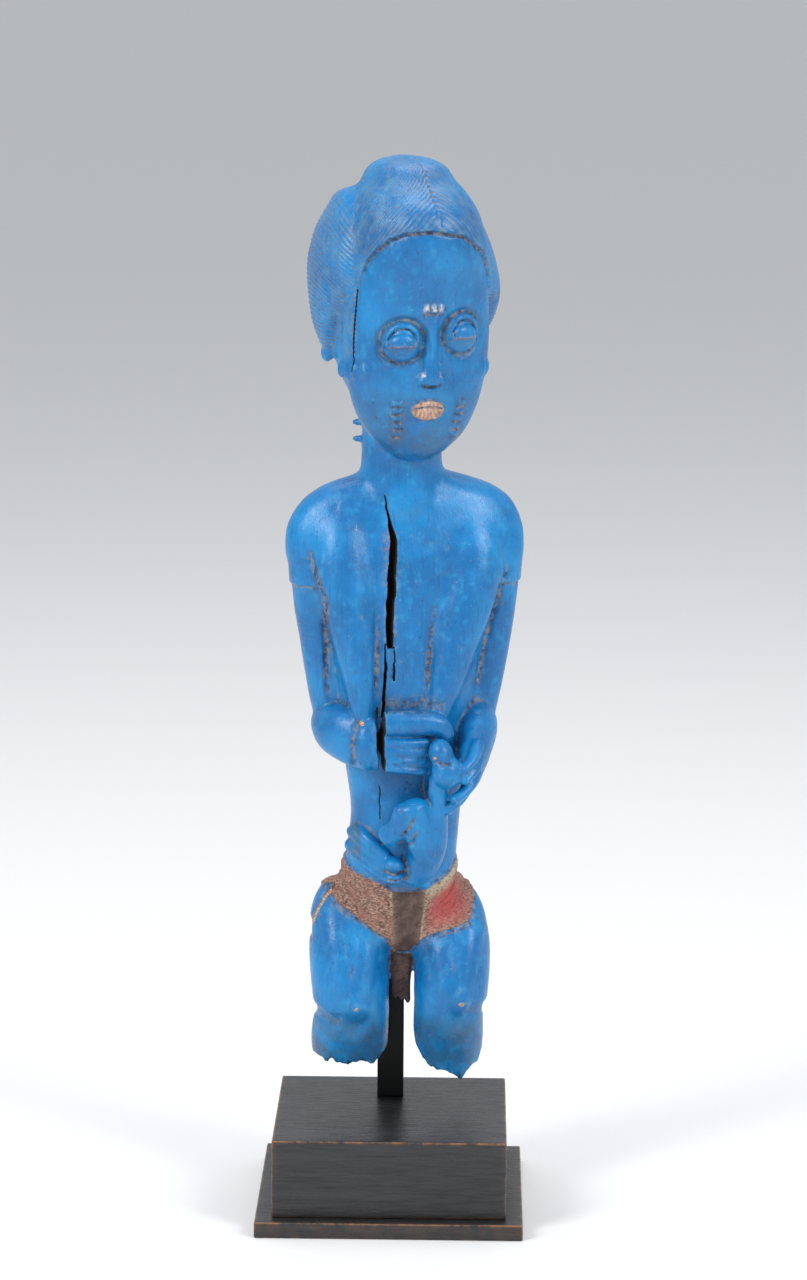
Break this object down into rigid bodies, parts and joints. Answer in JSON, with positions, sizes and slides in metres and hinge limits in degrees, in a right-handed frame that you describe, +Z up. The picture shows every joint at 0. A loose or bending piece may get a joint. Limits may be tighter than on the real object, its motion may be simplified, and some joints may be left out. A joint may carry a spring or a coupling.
{
  "type": "carved wooden figure of a woman on a display stand",
  "caption": "Painted wooden figure of a woman nursing a child, broken below the knees and held over a black stepped base by a metal bar.",
  "frame": {"origin": "centre of the base plate's underside", "axes": "+Z up, -Y towards the viewer in front of the figure, +X to that viewer's right"},
  "size_m": [0.12, 0.12, 0.478],
  "materials": {
    "blue_paint": "glossy blue enamel over carved wood, worn to bare wood on edges, with dirt in the hollows",
    "black_steel": "satin black",
    "black_wood": "black-stained wood with open grain, satin, worn brown along the top edges"
  },
  "bodies": {
    "root": {"figure": "blue_paint", "support_rod": "black_steel", "base_block": "black_wood", "base_plate": "black_wood"}
  },
  "joints": []
}
